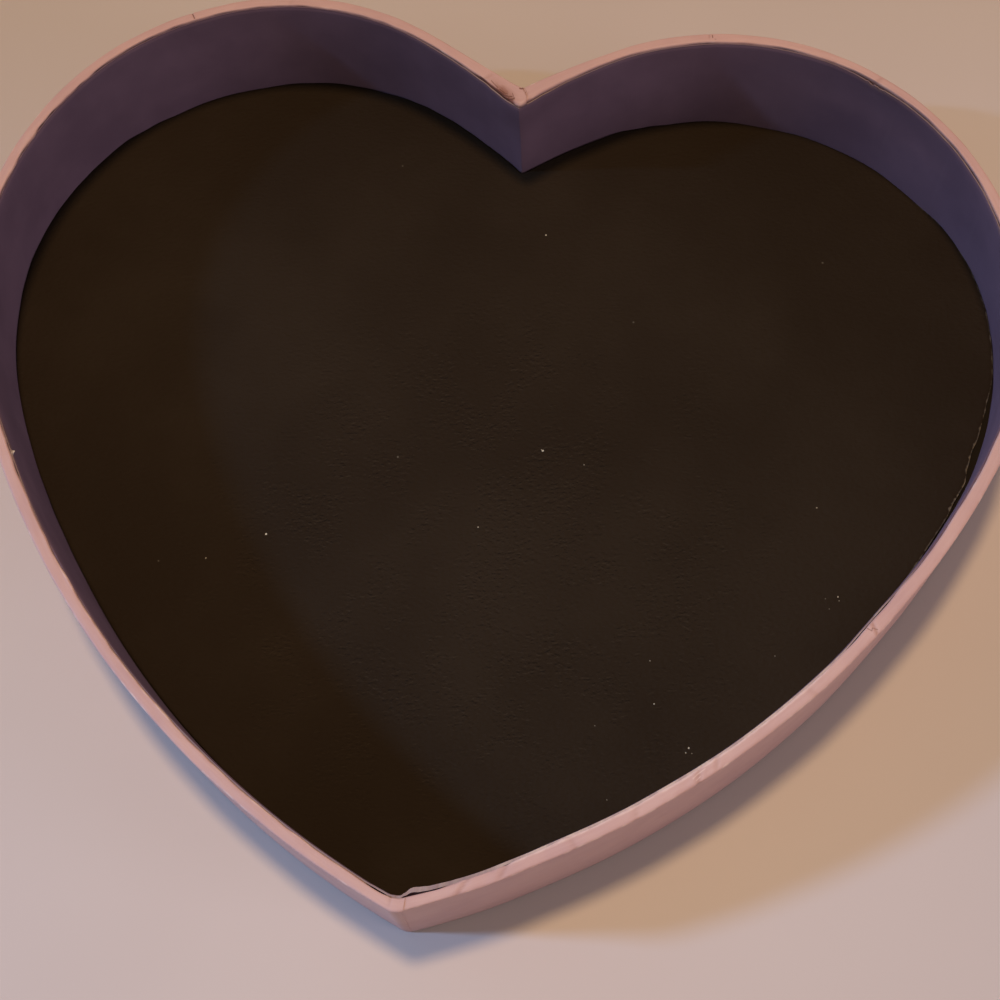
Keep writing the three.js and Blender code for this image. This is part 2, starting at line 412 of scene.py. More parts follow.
def spread(tree, value, low, high, toLow=0.0, toHigh=1.0):
    # smooth step from toLow at low to toHigh at high
    inputs = dict(enumerate((value, low, high, toLow, toHigh)))
    return newNode(tree, "MapRange", inputs, interpolation_type="SMOOTHSTEP").outputs[0]


def attribute(tree, name, kind="Fac"):
    return newNode(tree, "Attribute", {}, attribute_name=name).outputs[kind]


def stretched(tree, vector, scale):
    return newNode(tree, "Mapping", {"Vector": vector, "Scale": scale}).outputs[0]


def objectSpace(tree):
    return newNode(tree, "TexCoord", {}).outputs["Object"]


def newMaterial(name):
    material = bpy.data.materials.new(name)
    material.use_nodes = True
    return material, material.node_tree


def finishMaterial(material, tone, roughness, specular=0.5, bump=None):
    # the bump is a height, its strength and its distance in metres
    tree = material.node_tree
    inputs = {"Base Color": tone, "Roughness": roughness, "Specular IOR Level": specular}
    if bump:
        inputs["Normal"] = newNode(tree, "Bump", dict(zip(("Height", "Strength", "Distance"), bump))).outputs[0]
    for key, value in inputs.items():
        feed(tree, value, tree.nodes["Principled BSDF"].inputs[key])
    return material


def fibreGroup():
    # paper and board surface: a fine felt of fibres, with a cloudy change of tone over centimetres
    tree, given = newGroup("fibreFelt", {"Vector": None, "Fibre Length": 1.0})
    scaled = vectorNode(tree, "DIVIDE", given["Vector"], given["Fibre Length"])
    sideways = noiseNode(tree, stretched(tree, scaled, (900, 2600, 2600)), 1.0, 3.0)
    endways = noiseNode(tree, stretched(tree, scaled, (2600, 900, 1500)), 1.0, 3.0)
    return finishGroup(tree, {
        "Height": times(tree, mathNode(tree, "ADD", sideways, endways), 0.5),
        "Cloud": spread(tree, noiseNode(tree, given["Vector"], 55, 5), 0.3, 0.7),
        "Fleck": spread(tree, noiseNode(tree, given["Vector"], 900, 2), 0.62, 0.74),
    })


def rubGroup():
    # marks of handling that run along a strip: long faint streaks, and small smears within them
    tree, given = newGroup("handlingRubs", {"Lay": None})
    long = noiseNode(tree, stretched(tree, given["Lay"], (110, 1500, 1)), 1.0, 5, 0.6)
    short = noiseNode(tree, stretched(tree, given["Lay"], (420, 1300, 1)), 1.0, 5, 0.65)
    return finishGroup(tree, {"Streak": spread(tree, long, 0.3, 0.72), "Smear": short})


def lineGroup():
    # one line on a strip, from a start along a run: a place is on it where it lies within the width of
    # the nearest point of the run, with its edge made ragged by a fine noise
    inputs = {"Lay": None, "Start": None, "Run": None, "Measure": None, "Width": 0.0001}
    tree, given = newGroup("paperLine", inputs)
    away = vectorNode(tree, "SUBTRACT", given["Lay"], given["Start"])
    share = vectorNode(tree, "DOT_PRODUCT", away, given["Measure"])
    nearest = vectorNode(tree, "SCALE", given["Run"], mathNode(tree, "MULTIPLY", share, 1.0, clamp=True))
    apart = mathNode(tree, "DIVIDE", vectorNode(tree, "DISTANCE", away, nearest), given["Width"])
    ragged = mathNode(tree, "ADD", apart, noiseNode(tree, given["Lay"], 3200, 2))
    return finishGroup(tree, {"Mask": spread(tree, ragged, 1.65, 0.95)})


def dustGroup():
    # sparse pale specks: the cores of scattered cells, in the share of the cells that the amount gives
    tree, given = newGroup("dustSpecks", {"Vector": None, "Amount": 0.5})
    cells = newNode(tree, "TexVoronoi", {"Vector": given["Vector"], "Scale": 300}).outputs
    chance = newNode(tree, "SeparateColor", {0: cells["Color"]}).outputs[0]
    rare = mathNode(tree, "GREATER_THAN", given["Amount"], chance)
    return finishGroup(tree, {"Mask": times(tree, spread(tree, cells["Distance"], 0.09, 0.03), rare)})


def crumbGroup():
    # one crumb of dust: a small blot round a place, its outline ragged by a fine noise
    tree, given = newGroup("dustCrumb", {"Vector": None, "Place": None, "Reach": 0.0002})
    level = vectorNode(tree, "MULTIPLY", given["Vector"], (1, 1, 0))
    apart = mathNode(tree, "DIVIDE", vectorNode(tree, "DISTANCE", level, given["Place"]), given["Reach"])
    ragged = mathNode(tree, "ADD", apart, noiseNode(tree, given["Vector"], 4200, 2))
    return finishGroup(tree, {"Mask": spread(tree, ragged, 1.5, 1.15)})


def grainGroup():
    # leather grain pressed into paper: pebbles and short side to side creases as relief, with painted shade and
    # painted highlight on the two sides of each crease
    look = {
        "turn": -8.0,
        "pebble": (900, 1300, 1),
        "crease": (760, 1350, 1),
        "shadeStep": 0.00025,
        # the middle of the floor, where the painted shade and highlight on the grain are strongest, and how far
        # they reach from there
        "middle": (0.006, -0.018, 0.004),
        "faint": 0.072,
        "strong": 0.038,
    }
    tree, given = newGroup("leatherGrain", {"Vector": None})
    here = given["Vector"]
    turn = (0, 0, math.radians(look["turn"]))
    turned = newNode(tree, "Mapping", {"Vector": here, "Rotation": turn}).outputs[0]
    cells = {"Vector": stretched(tree, turned, look["pebble"]), "Scale": 1.0, "Smoothness": 0.6}
    pebbles = newNode(tree, "TexVoronoi", cells, feature="SMOOTH_F1").outputs["Distance"]
    # the same noise read a quarter of a millimetre apart: its slope, with painted highlight on one side and
    # painted shade on the other
    behind = newNode(tree, "Mapping", {"Vector": turned, "Location": (0, look["shadeStep"], 0)}).outputs[0]
    level, levelBehind = (noiseNode(tree, stretched(tree, place, look["crease"]), 1.0, 4, 0.65)
                          for place in (turned, behind))
    slope = mathNode(tree, "SUBTRACT", levelBehind, level)
    # the painted shade and highlight show in patches, and most in the middle of the floor
    apart = vectorNode(tree, "DISTANCE", here, look["middle"])
    patch = times(tree, spread(tree, noiseNode(tree, turned, 130, 4), 0.42, 0.6, 0.15, 1.0),
                  spread(tree, apart, look["faint"], look["strong"], 0.16, 1.0))
    return finishGroup(tree, {
        "Height": mathNode(tree, "ADD", times(tree, pebbles, 0.5), level),
        "PaintedShadeMask": times(tree, spread(tree, slope, -0.06, -0.15), patch),
        "PaintedHighlightMask": times(tree, spread(tree, slope, 0.07, 0.17), patch),
        "Cloud": spread(tree, noiseNode(tree, here, 20, 4), 0.35, 0.7),
    })


felt, rubs, line = fibreGroup(), rubGroup(), lineGroup()
dust, crumb, leather = dustGroup(), crumbGroup(), grainGroup()


def pinkPaper():
    # dusty pink covering paper: cloudy tone and long rubs, pale on its folds from wear and painted highlight,
    # brown where glue
    #     # and dirt show and as painted shade down its inner face and in its creases
    look = {
        "face": colour(196, 155, 147),
        "cloud": colour(186, 145, 140),
        # pale of wear, also used as painted highlight along the inner fold and on the front wrinkles
        "worn": colour(220, 188, 177),
        # brown of glue and dirt, also used as painted shade down the paper's inner face and in its creases
        "dirt": colour(118, 60, 40),
        "seam": colour(98, 54, 36),
        "roughness": 0.5,
        # lines on the rim: start and end as place along and in from the outer edge, width, strength
        "glueLines": [
            (648.6, 2.5, 652.4, 2.62, 0.13, 0.6), (652.4, 2.62, 654.1, 2.5, 0.12, 0.7),
            (654.1, 2.5, 655.3, 2.05, 0.1, 0.6), (653.6, 2.8, 655.3, 2.4, 0.14, 0.8),
            (655.3, 2.4, 656.5, 2.1, 0.12, 0.8), (654.6, 2.98, 656.1, 2.6, 0.15, 0.85),
            (656.1, 2.6, 657.1, 2.15, 0.14, 0.8), (656.4, 1.65, 657.1, 2.15, 0.1, 0.6),
            (655.4, 2.2, 656, 2.8, 0.1, 0.6), (651.2, 1.9, 653, 2.2, 0.1, 0.6),
            (649.8, 2.85, 652.6, 3.05, 0.14, 0.7), (651.6, 2.55, 653.9, 2.85, 0.12, 0.75),
            (652.6, 3.15, 654.9, 3.1, 0.14, 0.8), (653.4, 2.25, 654.6, 2.2, 0.1, 0.6),
            (658, 0.34, 658.9, 0.28, 0.14, 0.8), (44.8, 0.6, 44.85, 1.2, 0.13, 0.75),
            (45.3, 1.65, 45.5, 1.75, 0.14, 0.5), (578.4, 0.25, 578.5, 2, 0.13, 0.75),
            (225.8, 2.4, 225.5, 1.4, 0.12, 0.5), (225.5, 1.4, 225, 1.66, 0.12, 0.55),
            (225, 1.66, 224.4, 0.75, 0.1, 0.45),
        ],
        # pale lines painted on the front rim's wrinkles as highlights
        "wrinkleHighlights": [
            (269.9, 1.3, 268.7, 1.62, 0.16, 0.6), (268.7, 1.62, 267.1, 1.74, 0.16, 0.6),
            (269.5, 0.66, 268.5, 0.9, 0.12, 0.5),
        ],
    }
    material, tree = newMaterial("pinkPaper")
    here, lay = objectSpace(tree), attribute(tree, "lay", "Vector")
    surface = useGroup(tree, felt, Vector=here, Fibre_Length=1.0)
    marks = useGroup(tree, rubs, Lay=lay)
    smear = marks["Smear"]
    mottle = spread(tree, noiseNode(tree, here, 420, 5, 0.6), 0.35, 0.65, 0.0, 0.16)
    wear = spread(tree, times(tree, attribute(tree, "wear"), smear), 0.2, 0.62, 0.0, 0.8)
    # the dirt mark darkens the paper: glue and dirt stains, and painted shade down the inner face and in the
    # creases
    soiledAndShaded = times(tree, attribute(tree, "dirt"), spread(tree, smear, 0.3, 0.55, 0.45, 1.0))
    tone = mixColour(tree, surface["Cloud"], look["face"], look["cloud"])
    for amount, over in ((mottle, "cloud"), (times(tree, marks["Streak"], 0.13), "worn"), (wear, "worn"),
                         (mathNode(tree, "MINIMUM", soiledAndShaded, 0.85), "dirt")):
        tone = mixColour(tree, amount, tone, look[over])
    for kind, ink in (("wrinkleHighlights", "worn"), ("glueLines", "seam")):
        drawn = 0.0
        for s1, t1, s2, t2, width, strength in look[kind]:
            run = np.array([s2 - s1, t2 - t1, 0.0]) * mm
            mask = useGroup(tree, line, Lay=lay, Start=(s1 * mm, t1 * mm, 0.0), Run=tuple(run),
                            Measure=tuple(run / (run @ run)), Width=width * mm)["Mask"]
            drawn = mathNode(tree, "MAXIMUM", times(tree, mask, strength), drawn)
        tone = mixColour(tree, drawn, tone, look[ink])
    tone = mixColour(tree, attribute(tree, "seam"), tone, look["seam"])
    relief = mathNode(tree, "ADD", surface["Height"], times(tree, smear, 0.5))
    relief = mathNode(tree, "SUBTRACT", relief, times(tree, drawn, 2.0))
    roughness = mathNode(tree, "MULTIPLY_ADD", surface["Cloud"], 0.1, look["roughness"])
    return finishMaterial(material, tone, roughness, 0.35, (relief, 0.4, 0.00008))


def mauveCard():
    # smooth mauve card: slow cloud, faint upright rubs, and along its cut edge a raw core painted dark as in the
    # rim's shade, paler where the pale mark says
    look = {
        "face": colour(125, 97, 111),
        "cloud": colour(113, 87, 101),
        "rub": colour(150, 128, 136),
        # painted shade: the cut edge's core is made dark as if in the shade of the rim above it
        "core": colour(92, 68, 80),
        "worn": colour(206, 180, 165),
        "dirt": colour(92, 56, 42),
        "crumb": colour(226, 214, 204),
        "roughness": 0.6,
    }
    material, tree = newMaterial("mauveCard")
    lay = attribute(tree, "lay", "Vector")
    surface = useGroup(tree, felt, Vector=objectSpace(tree), Fibre_Length=1.4)
    upright = spread(tree, noiseNode(tree, stretched(tree, lay, (300, 30, 1)), 1.0), 0.55, 0.85, 0.0, 0.1)
    raw = mixColour(tree, attribute(tree, "pale"), look["core"], look["worn"])
    broken = spread(tree, noiseNode(tree, stretched(tree, lay, (260, 1, 1)), 1.0, 5), 0.36, 0.62, 0.45, 1.0)
    tone = mixColour(tree, surface["Cloud"], look["face"], look["cloud"])
    for amount, over in ((upright, look["rub"]), (times(tree, attribute(tree, "core"), broken), raw),
                         (attribute(tree, "dirt"), look["dirt"]), (attribute(tree, "crumb"), look["crumb"])):
        tone = mixColour(tree, amount, tone, over)
    return finishMaterial(material, tone, look["roughness"], 0.3, (surface["Height"], 0.3, 0.00005))


def board(name, face, fleck, roughness, gapShade=colour(30, 24, 19)):
    # raw board: a coarse felt of fibres with dark and pale flecks pressed into it, and painted shade where the
    # gap shade mark is set
    material, tree = newMaterial(name)
    surface = useGroup(tree, felt, Vector=objectSpace(tree), Fibre_Length=2.2)
    tone = mixColour(tree, surface["Fleck"], face, fleck)
    tone = mixColour(tree, times(tree, surface["Cloud"], 0.35), tone, fleck)
    tone = mixColour(tree, attribute(tree, "gapShade"), tone, gapShade)
    return finishMaterial(material, tone, roughness, 0.2, (surface["Height"], 0.6, 0.00015))


def darkFacing():
    # black-brown paper with a leather grain, painted shade and painted highlight on the sides of its creases in
    # broad patches,
    #     # worn to brown board at its cut edge, with a few crumbs of dust
    look = {
        "face": colour(38, 28, 19),
        "high": colour(43, 33, 24),
        # painted shade on the shaded side of each grain crease
        "deep": colour(21, 15, 11),
        # painted highlight on the lit side of each grain crease
        "rub": colour(61, 51, 40),
        "worn": colour(94, 86, 77),
        "speck": colour(198, 188, 168),
        "roughness": 0.72,
        # place in millimetres, reach and strength of each crumb
        "crumbs": [
            (-41.7, -20, 0.24, 1), (14, 5.6, 0.25, 0.85), (13.7, 5.8, 0.14, 0.5), (50.6, -54.6, 0.21, 0.8),
            (8.3, 57.9, 0.22, 0.85), (77.9, -19.6, 0.19, 0.7), (42.9, -46.5, 0.18, 0.55),
            (2.6, -13.2, 0.18, 0.55), (72.4, -0.6, 0.18, 0.5), (50.1, -55.6, 0.18, 0.45),
            (51.3, -55.6, 0.14, 0.3), (-53.4, -26.8, 0.2, 0.5), (23.1, 3.4, 0.16, 0.45),
            (41.2, -37.7, 0.15, 0.4), (78.2, -20.4, 0.14, 0.35), (75.4, -20.3, 0.14, 0.22),
            (76.3, -22.4, 0.14, 0.22), (66.1, -33.6, 0.14, 0.25), (31.6, -52.4, 0.14, 0.25),
            (35.6, -66.9, 0.14, 0.25),
        ],
    }
    material, tree = newMaterial("darkFacing")
    here = objectSpace(tree)
    grain = useGroup(tree, leather, Vector=here)
    specks = times(tree, useGroup(tree, dust, Vector=here, Amount=0.02)["Mask"], 0.15)
    for x, y, reach, strength in look["crumbs"]:
        blot = useGroup(tree, crumb, Vector=here, Place=(x * mm, y * mm, 0.0), Reach=reach * mm)["Mask"]
        specks = mathNode(tree, "MAXIMUM", specks, times(tree, blot, strength))
    edge = spread(tree, times(tree, attribute(tree, "wear"), noiseNode(tree, here, 700)), 0.3, 0.6)
    tone = mixColour(tree, grain["Cloud"], look["face"], look["high"])
    paintedShade, paintedHighlight = times(tree, grain["PaintedShadeMask"], 0.75), times(tree, grain["PaintedHighlightMask"], 0.5)
    for amount, over in ((paintedShade, "deep"), (paintedHighlight, "rub"), (edge, "worn"), (specks, "speck")):
        tone = mixColour(tree, amount, tone, look[over])
    roughness = mathNode(tree, "MULTIPLY_ADD", grain["Cloud"], -0.06, look["roughness"])
    return finishMaterial(material, tone, roughness, 0.06, (grain["Height"], 0.8, 0.00017))


def tableTop():
    look = {"face": colour(193, 178, 172), "cloud": colour(188, 172, 166), "roughness": 0.5}
    material, tree = newMaterial("tableTop")
    cloud = spread(tree, noiseNode(tree, objectSpace(tree), 6, 3), 0.3, 0.7)
    return finishMaterial(material, mixColour(tree, cloud, look["face"], look["cloud"]), look["roughness"])


pinkFinish = pinkPaper()
mauveFinish = mauveCard()
greyFinish = board("greyBoard", colour(154, 139, 120), colour(96, 84, 70), 0.92)
brownFinish = board("brownBoard", colour(114, 104, 92), colour(72, 62, 53), 0.88)
stayFinish = board("stayPaper", colour(181, 156, 116), colour(140, 112, 78), 0.82)
darkFinish = darkFacing()
print("materials ready")

# Covering paper

covering = {
    "thickness": 0.25,
    "footFold": 0.35,
    "rimFold": 0.38,
    "crown": 0.09,
    "rimWidth": linerInset - 0.15,
    "turnIn": 14.0,
    "turnUnder": 11.0,
    "underPoints": 5,
    # a step between stations, the closer step round creases and corners, and how far round them
    "step": 0.62,
    "closeStep": 0.2,
    "closeReach": 1.8,
    "cleftSoft": 0.6,
    "tipSoft": 1.6,
    "lapLift": 0.18,
    "lapRun": 6.0,
    # how far the left paper laps over the right at each corner, by place over the rim
    "tipLap": [
        (-12, 0.9), (-0.6, 1.5), (0, 2), (1.1, 2.05), (1.6, 0), (8, 0),
    ],
    "cleftLap": [
        (-12, 0.3), (-0.5, 0.3), (0.15, 0.45), (0.45, 1.1), (0.72, 1.65), (1.05, 1.85), (1.6, 0), (8, 0),
    ],
    # the paper's unevenness: where, its depth, its scale across the strip, what is added to the
    # strip's seed, and its shortest and longest wave
    "waves": [
        ("wall", 0.04, 1.5, 0, 10, 70),
        ("rim", 0.04, 9, 1, 5, 30),
        ("rim", 0.014, 7, 2, 1.4, 5),
        ("inner", 0.1, 0, 3, 5, 30),
        ("bumpy", 0.26, 0, 7, 3.5, 12),
        ("rough", 0.06, 10, 4, 2.4, 8),
    ],
    # place, reach and strength of the rough runs of the rim, and place and reach of the bumpy one
    "roughRuns": [(half - 13, 9, 0.6), (267, 10, 0.5), (530, 25, 0.3)],
    "bumpyRun": (532, 22),
    # glue wrinkles left of the cleft: how far back from it, their reach, depth, where they rise and
    # fade over the rim, and how dark the dirt in them is
    "glue": {"back": 4.5, "reach": 4.6, "depth": 0.035, "across": (0.15, 0.55, 1.0, 1.3), "dirt": 0.85},
    # pale runs along the rim's inner edge, wear with a painted highlight: where they rise and fade, their place
    # over the rim, width and strength
    "wearAndHighlightRuns": [((232, 244, 300, 314), 0.86, 0.16, 1.1), ((333, 342, 425, 440), 0.95, 0.1, 0.6)],
    # place along the outline, width, depth, slant, first and last place over the rim
    "creases": [
        (44.1, 0.22, 0.12, 0.1, 0.1, 0.5), (83, 0.6, 0.1, 0.5, 0.2, 1), (127.8, 0.5, 0.08, 0.6, 0.2, 1),
        (224.6, 0.45, 0.14, 0.9, 0.1, 0.8), (242, 0.8, 0.05, -0.9, 0, 1), (264.6, 0.6, 0.08, 1.4, 0.2, 1),
        (268.6, 0.7, 0.11, 1.2, 0, 0.9), (282, 0.9, 0.05, 0.8, 0, 1), (295, 0.8, 0.06, -1, 0, 1),
        (308.6, 0.9, 0.09, 1.8, 0.2, 1), (316.3, 0.8, 0.1, 2.1, 0.1, 1), (330.2, 0.3, 0.09, 0.5, 0, 1),
        (578.4, 0.22, 0.1, 0, 0, 0.8), (601, 0.7, 0.05, 0.6, 0.2, 1), (650.5, 0.6, 0.08, 2.2, 0.3, 1),
    ],
}


def leg(start, end, count):
    # straight run of a section: points and the outward normal, to the left of the way it goes
    t = np.linspace(0, 1, count, endpoint=False)[:, None]
    start, end = np.array(start, float), np.array(end, float)
    way = (end - start) / np.linalg.norm(end - start)
    return np.hstack([start + (end - start) * t, np.tile([-way[1], way[0]], (count, 1))])


def fold(centre, radius, first, last, count):
    # round fold of a section: points on a circle, the normal pointing from its centre
    angle = np.radians(np.linspace(first, last, count, endpoint=False))[:, None]
    normal = np.hstack([np.cos(angle), np.sin(angle)])
    return np.hstack([np.array(centre) + radius * normal, normal])


def coveringPath():
    foot, rim, width = covering["footFold"], covering["rimFold"], covering["rimWidth"]
    top, low = rimHeight, wrapFoot
    end = top - covering["turnIn"]
    return np.concatenate([
        leg((covering["turnUnder"], low), (foot, low), covering["underPoints"]),
        fold((foot, low + foot), foot, 270, 180, 4),
        leg((0, low + foot), (0, top - 4), 10),
        leg((0, top - 4), (0, top - rim), 5),
        fold((rim, top - rim), rim, 180, 90, 8),
        leg((rim, top), (width - rim, top), 5),
        fold((width - rim, top - rim), rim, 90, 0, 8),
        leg((width, top - rim), (width, top - 3.2), 6),
        leg((width, top - 3.2), (width, end), 3),
        [[width, end, 1.0, 0.0]],
    ])


def coveringPaper(name, start, end, overlaps, seed):
    # Each point is the section's point, pushed along the section's normal by a lift: slow bubbles on
    # the wall, a pressed uneven rim, creases as narrow troughs, and the rise over a lap.
    inset, height, normalIn, normalUp = coveringPath().T
    along = np.concatenate([[0], np.cumsum(np.hypot(np.diff(inset), np.diff(height)))])
    width, glue = covering["rimWidth"], covering["glue"]
    # place over the rim: 0 to 1 over its top, and on down both faces at the same scale
    below = np.maximum(0, rimHeight - covering["rimFold"] - height)
    overRim = (inset + np.where(inset < width / 2, -below, below)) / width
    overRim[: covering["underPoints"]] = covering["tipLap"][0][0]
    places = [row[0] for row in covering["creases"]] + corners
    base = stations(start, end, covering["step"], covering["closeStep"], places, covering["closeReach"])
    s = gridOf(base, len(inset))
    tipLap, cleftLap = (seatAt(overRim, covering[key])[0][None] for key in ("tipLap", "cleftLap"))
    if overlaps:
        s = s - tipLap * (1 - rise(base, half, half + covering["lapRun"]))[:, None]
        s = s + cleftLap * rise(base, whole - covering["lapRun"], whole)[:, None]

    inward = np.clip(normalIn, 0, 1)
    top = np.clip(normalUp, 0, 1)[None]
    inner = (inward * rise(height, rimHeight - 2.2, rimHeight - 0.9))[None]
    rim = np.clip(top + inner, 0, 1)
    rounded = (np.clip(normalIn + 0.4, 0, 1) * rise(height, rimHeight - 1.4, rimHeight - 0.4))[None]
    zones = {
        "wall": (np.clip(-normalIn, 0, 1) * rise(height, wrapFoot, wrapFoot + 4))[None],
        "rim": rim,
        "inner": inner,
        "bumpy": near(s, *covering["bumpyRun"]) * rounded,
        "rough": sum(share * near(s, place, reach) for place, reach, share in covering["roughRuns"]) * rim,
    }
    lift = covering["crown"] * top * (1 - (2 * overRim - 1) ** 2)[None]
    for zone, depth, scale, draw, shortest, longest in covering["waves"]:
        across = scale * (height if zone == "wall" else overRim)[None]
        lift = lift + depth * zones[zone] * ripples(s, across, seed + draw, shortest, longest)
    # glue wrinkles run along the rim and slant across it
    glued = near(s, whole - glue["back"], glue["reach"]) * between(overRim, *glue["across"])[None]
    lift = lift + glue["depth"] * glued * ripples(0.3 * s, 2.7 * overRim[None] + 0.16 * s, seed + 8, 0.55, 2.2)
    dirt = near(s, whole - 4.0, 2.6) * near(overRim, 0.82, 0.28)[None]
    dirt = dirt + between(s, whole - 13, whole - 9, whole - 1.6, whole - 0.8) * near(overRim, 1.0, 0.07)[None]
    dirt = glue["dirt"] * dirt
    for place, broad, depth, slant, first, last in covering["creases"]:
        window = between(overRim, first - 0.25, first + 0.05, last - 0.05, last + 0.25)[None]
        across = s + slant * (overRim[None] - 0.5)
        trough = near(across, place, broad) * window
        lift = lift - depth * trough + 0.6 * depth * near(across, place + 1.7 * broad, broad) * window
        # dirt and painted shade darken the bottom of each crease's trough
        dirt = dirt + 2.4 * depth * trough ** 2
    if overlaps:
        onTip = 0.6 * rise(tipLap, 0, 0.8) * (1 - rise(s, half + 0.2, half + 2.2))
        lift = lift + covering["lapLift"] * (onTip + rise(cleftLap, 0, 0.3) * rise(s, whole - 3.0, whole - 0.3))

    squeezed = narrowing(s, height[None]) * (np.clip(inset / width, 0, 1) ** 2)[None]
    shift = leanOut(s, height[None]) + squeezed
    soft = cornerSoft(s, covering["cleftSoft"], covering["tipSoft"])
    faces = [sheetFace(s, inset[None] + normalIn * pushed - shift, soft, height[None] + normalUp * pushed)
             for pushed in (lift, lift - covering["thickness"])]

    # dark lines where one strip's edge lies on the other
    atCleft = near(s - cleftLap - (whole if overlaps else 0.0), 0.08, 0.15)
    atCleft = atCleft * between(overRim, -0.25, 0.0, 1.1, 1.3)[None]
    atTip = near(s - half + tipLap, -0.06, 0.16) * (rise(overRim, -12.0, -1.0) * (overRim < 1.3))[None]
    # pale on both folds from wear, and along the inner fold a painted highlight too
    wear = (near(overRim, 0.02, 0.12) + 0.7 * near(overRim, 0.94, 0.14))[None]
    wear = wear * (0.45 + 0.5 * ripples(s, 4 * overRim[None], seed + 5, 2, 40))
    for run, place, broad, strength in covering["wearAndHighlightRuns"]:
        wear = wear + strength * between(s, *run) * near(overRim, place, broad)[None]
    rubbed = 0.25 * near(overRim, 0.98, 0.1)[None] * rise(ripples(s, 0.0, seed + 6, 5, 50), 0.2, 1.0)
    rubbed = rubbed * (1 - between(s, *covering["wearAndHighlightRuns"][0][0]))
    # painted shade: the paper's inner face below the rim's inner fold is darkened brown as if in shadow
    dirt = dirt + rubbed + 0.75 * (inward * rise(overRim, 1.02, 1.15))[None]
    rimStart = along[np.argmax(height > rimHeight - 1e-6)] - covering["rimFold"]
    lay = np.dstack([s, along[None] - rimStart + 0 * s, 0 * s])
    # the dirt mark holds glue and dirt stains and the painted shade of the inner face and creases
    marks = {"wear": wear, "dirt": dirt, "seam": 0.8 * atCleft + 0.12 * atTip}
    marks = {key: (np.clip(values, 0, 1), 0 * s) for key, values in marks.items()}
    return ribbon(name, *faces, {**marks, "lay": (lay, lay)})


coveringRight = coveringPaper("coveringPaperRight", 0.05, half - 0.05, False, 11)
coveringLeft = coveringPaper("coveringPaperLeft", half + 0.05, whole - 0.05, True, 23)

# Wall boards and corner stays, seen only where the paper is lifted

boards = {
    "thickness": 2.0,
    "round": 0.6,
    "step": 1.4,
    "endGap": 0.1,
    "topGap": 0.05,
    "soft": (0.5, 1.2),
    "stayReach": 14.0,
    "stayStep": 1.2,
    # the stay's two faces, in from the board's outer face
    "stayFaces": (2.05, 2.2),
}


def boardSheet(name, base, rises, insets):
    # a sheet on edge that leans as the wall does, with its faces' insets worked out from the narrowing
    s = gridOf(base, len(rises))
    lean, soft = leanOut(s, rises[None]), cornerSoft(s, *boards["soft"])
    faces = [sheetFace(s, inset - lean, soft, rises[None]) for inset in insets(narrowing(s, rises[None]))]
    return ribbon(name, *faces, {})


def wallBoard(name, start, end):
    # A board on edge: each face goes up to a pressed round corner and nearly half way over the top.
    # The corners shrink as the board is pressed narrower.
    low, high, deep, turn = boardLow[2], boardHigh[2], boards["thickness"], boards["round"]
    angle = np.radians(np.linspace(0, 90, 5))[1:]
    rises = np.concatenate([np.linspace(low, high - turn, 8), high - turn + turn * np.sin(angle), [high]])
    inward = np.concatenate([np.zeros(8), turn - turn * np.cos(angle), [deep / 2 - boards["topGap"]]])[None]
    base = stations(start + boards["endGap"], end - boards["endGap"], boards["step"], 0.3, corners, 3.0)

    def insets(squeeze):
        turned = inward * (1 - squeeze / deep)
        return boardInset + turned, boardInset + deep - squeeze - turned

    return boardSheet(name, base, rises, insets)


def cornerStay(name, node, middle):
    # a strip of gummed paper bent round the inside of a corner
    low, high = boxOf(node)
    reach = boards["stayReach"]
    base = stations(middle - reach, middle + reach, boards["stayStep"], 0.3, [middle], 2.0)

    def insets(squeeze):
        return [boardInset + deep - squeeze for deep in boards["stayFaces"]]

    return boardSheet(name, base, np.linspace(low[2], high[2], 12), insets)


boardRight = wallBoard("wallBoardRight", 0.0, half)
boardLeft = wallBoard("wallBoardLeft", half, whole)
stayCleft = cornerStay("stayCleft", "cleft_stay", whole)
stayTip = cornerStay("stayTip", "tip_stay", half)

# Liner

